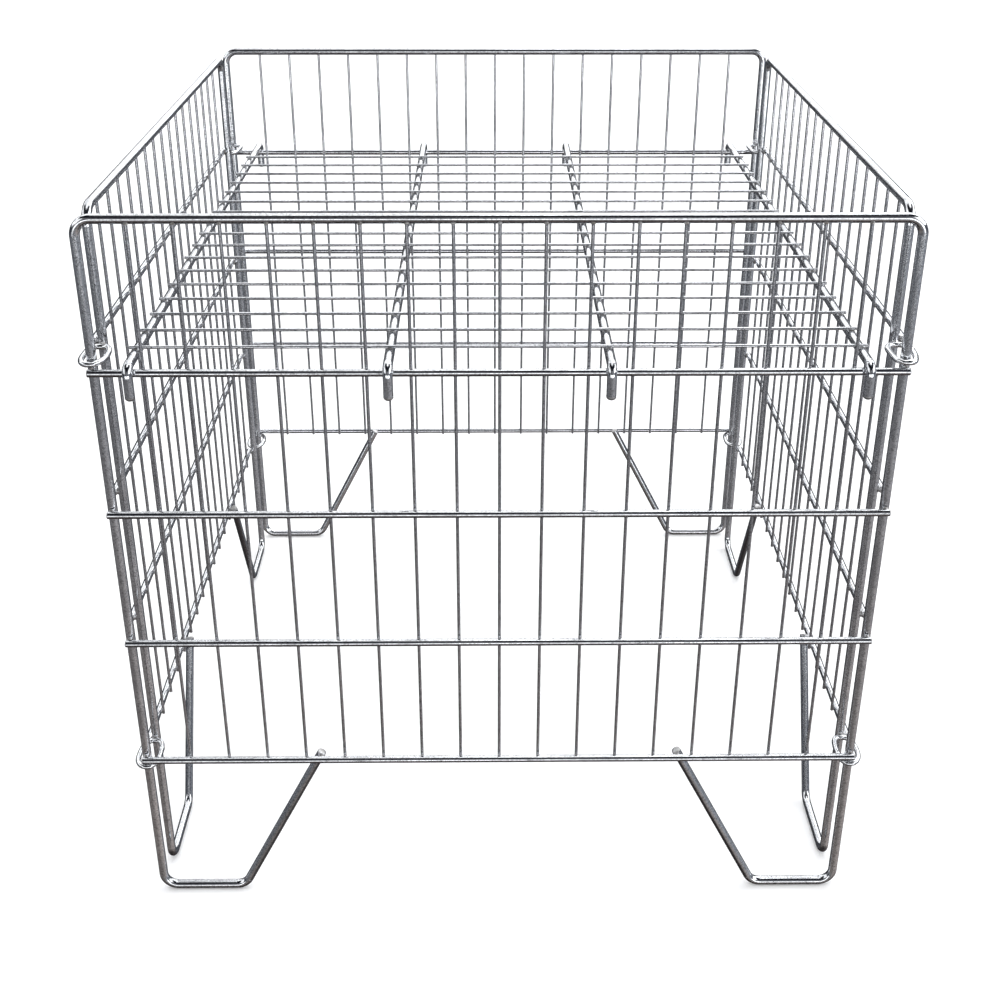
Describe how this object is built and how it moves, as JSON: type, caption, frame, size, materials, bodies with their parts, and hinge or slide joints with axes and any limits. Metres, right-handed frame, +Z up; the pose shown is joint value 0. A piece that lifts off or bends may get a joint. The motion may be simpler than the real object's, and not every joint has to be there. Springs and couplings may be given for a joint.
{
  "type": "wire mesh container",
  "caption": "Square open-topped wire mesh container on braced wire feet, with panels linked at the corners by loose wire rings and a wire shelf that hooks over the top bars.",
  "frame": {"origin": "on the floor, at the middle of the container, midway between the four corner legs", "axes": "+Z up; -Y towards the front panel, the side that it is seen from; +X towards the right panel"},
  "size_m": [0.83, 0.8462, 0.8421],
  "materials": {
    "frame_steel": "bright zinc plate",
    "bar_steel": "bright zinc plate",
    "wire_steel": "bright zinc plate",
    "ring_steel": "bright zinc plate",
    "shelf_steel": "bright zinc plate"
  },
  "bodies": {
    "front_panel": {"front_frame_rod": "frame_steel", "front_bar_1": "bar_steel", "front_bar_2": "bar_steel", "front_bar_3": "bar_steel", "front_bar_4": "bar_steel", "front_wires": "wire_steel"},
    "left_panel": {"left_frame_rod": "frame_steel", "left_bar_1": "bar_steel", "left_bar_2": "bar_steel", "left_bar_3": "bar_steel", "left_bar_4": "bar_steel", "left_wires": "wire_steel", "left_front_upper_ring": "ring_steel", "left_front_lower_ring": "ring_steel", "left_back_upper_ring": "ring_steel", "left_back_lower_ring": "ring_steel"},
    "right_panel": {"right_frame_rod": "frame_steel", "right_bar_1": "bar_steel", "right_bar_2": "bar_steel", "right_bar_3": "bar_steel", "right_bar_4": "bar_steel", "right_wires": "wire_steel", "right_front_upper_ring": "ring_steel", "right_front_lower_ring": "ring_steel", "right_back_upper_ring": "ring_steel", "right_back_lower_ring": "ring_steel"},
    "back_panel": {"back_frame_rod": "frame_steel", "back_bar_1": "bar_steel", "back_bar_2": "bar_steel", "back_bar_3": "bar_steel", "back_bar_4": "bar_steel", "back_wires": "wire_steel"},
    "shelf": {"shelf_rod_1": "shelf_steel", "shelf_rod_2": "shelf_steel", "shelf_rod_3": "shelf_steel", "shelf_rod_4": "shelf_steel", "shelf_cross_wires": "wire_steel"}
  },
  "joints": [
    {"name": "left_corner_fold", "type": "hinge", "parent": "front_panel", "child": "left_panel", "pos_m": [-0.4, -0.4, 0.44], "axis": [0, 0, 1], "range_deg": [-0.34, 0.34]},
    {"name": "right_corner_fold", "type": "hinge", "parent": "front_panel", "child": "right_panel", "pos_m": [0.4, -0.4, 0.44], "axis": [0, 0, 1], "range_deg": [-0.34, 0.34]},
    {"name": "back_corner_fold", "type": "hinge", "parent": "left_panel", "child": "back_panel", "pos_m": [-0.4, 0.4, 0.44], "axis": [0, 0, 1], "range_deg": [-0.34, 0.34]},
    {"name": "shelf_lift", "type": "slide", "parent": "front_panel", "child": "shelf", "axis": [0, 0, 1], "range_m": [0, 0.13]}
  ],
  "couplings": [
    {"joint": "right_corner_fold", "follows": "left_corner_fold", "ratio": 1},
    {"joint": "back_corner_fold", "follows": "left_corner_fold", "ratio": -1}
  ]
}
